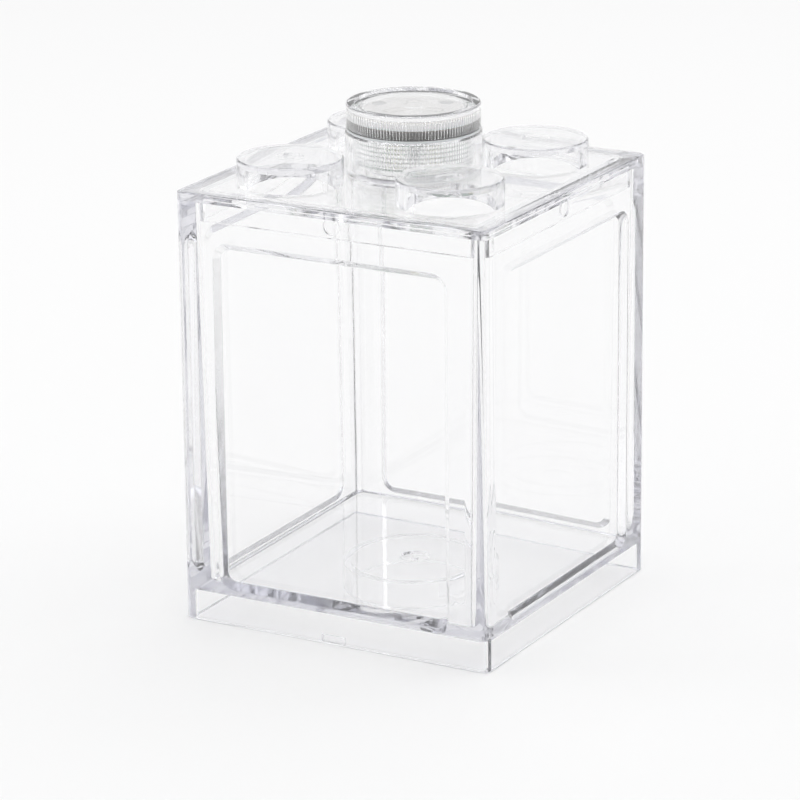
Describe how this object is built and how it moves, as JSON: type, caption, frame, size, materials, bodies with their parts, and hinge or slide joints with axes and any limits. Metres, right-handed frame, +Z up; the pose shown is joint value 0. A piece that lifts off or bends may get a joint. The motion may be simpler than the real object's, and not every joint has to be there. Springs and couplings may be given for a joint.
{
  "type": "desktop aquarium",
  "caption": "Small clear square-column desktop tank with sunk windows, a lift-off studded cover and a round twist-on battery lamp that shines down into it.",
  "frame": {"origin": "middle of the tank's footprint, on the surface it stands on", "axes": "+Z up; -Y is the front wall, the left one of the two walls nearest the viewer in the picture; +X is the right one"},
  "size_m": [0.08, 0.08, 0.1193],
  "materials": {
    "tank_clear": "clear",
    "cover_clear": "clear",
    "lamp_clear": "clear",
    "seal_rubber": "matt, translucent grey",
    "tray_black": "satin black",
    "board_green": "solder resist",
    "contact_metal": "plated",
    "cell_steel": "nickel-plated",
    "diode_epoxy": "clear epoxy",
    "screw_steel": "zinc-plated"
  },
  "bodies": {
    "tank": {"tank_body": "tank_clear"},
    "cover_lid": {"cover": "cover_clear"},
    "lamp": {"lamp_body": "lamp_clear", "seal_ring": "seal_rubber", "circuit_board": "board_green", "contact_pads": "contact_metal", "battery_tray": "tray_black", "button_cell_1": "cell_steel", "button_cell_2": "cell_steel", "button_cell_3": "cell_steel", "contact_plate": "contact_metal", "light_diode": "diode_epoxy", "tray_screws": "screw_steel"},
    "lamp_cap": {"lens_cap": "lamp_clear"}
  },
  "joints": [
    {"name": "cover_lift", "type": "slide", "parent": "tank", "child": "cover_lid", "axis": [0, 0, 1], "range_m": [0, 0.05]},
    {"name": "lamp_lift", "type": "slide", "parent": "cover_lid", "child": "lamp", "axis": [0, 0, 1], "range_m": [0, 0.015]},
    {"name": "cap_twist", "type": "hinge", "parent": "lamp", "child": "lamp_cap", "pos_m": [0, 0, 0.1136], "axis": [0, 0, 1], "range_deg": [0, 60]}
  ]
}
